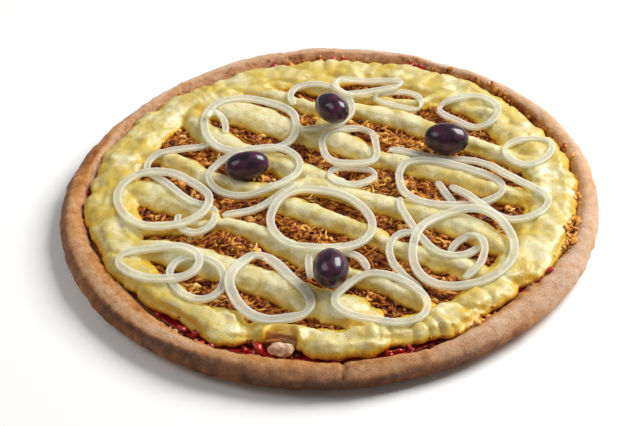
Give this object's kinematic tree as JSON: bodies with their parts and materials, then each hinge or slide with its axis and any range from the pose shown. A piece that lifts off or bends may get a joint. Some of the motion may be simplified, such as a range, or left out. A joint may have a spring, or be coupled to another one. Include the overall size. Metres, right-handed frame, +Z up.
{
  "type": "chicken pizza",
  "caption": "Round chicken pizza: baked crust with a raised rim, tomato sauce, browned shredded chicken, piped cream cheese ropes, thin onion rings and whole dark olives.",
  "frame": {"origin": "middle of the box round the pizza, at the level of its underside", "axes": "+Z up out of the toppings, -Y towards the viewer of the picture"},
  "size_m": [0.3014, 0.302, 0.0402],
  "materials": {
    "crust": "matt baked dough, floured",
    "sauce": "wet tomato sauce",
    "chicken": "browned shredded chicken",
    "cheese": "soft cream cheese with a slight sheen",
    "onion": "moist translucent onion",
    "olive": "oily dark olive skin"
  },
  "bodies": {
    "root": {"crust": "crust", "tomato_sauce": "sauce", "chicken": "chicken", "chicken_chunk": "chicken", "cheese": "cheese", "onion_01": "onion", "onion_02": "onion", "onion_03": "onion", "onion_04": "onion", "onion_05": "onion", "onion_06": "onion", "onion_07": "onion", "onion_08": "onion", "onion_09": "onion", "onion_10": "onion", "onion_11": "onion", "onion_12": "onion", "onion_13": "onion", "onion_14": "onion", "onion_15": "onion", "onion_16": "onion", "onion_17": "onion", "onion_18": "onion", "onion_19": "onion", "onion_20": "onion", "onion_21": "onion", "onion_22": "onion", "onion_23": "onion", "onion_24": "onion", "onion_25": "onion", "onion_26": "onion", "olive_1": "olive", "olive_2": "olive", "olive_3": "olive", "olive_4": "olive"}
  },
  "joints": []
}
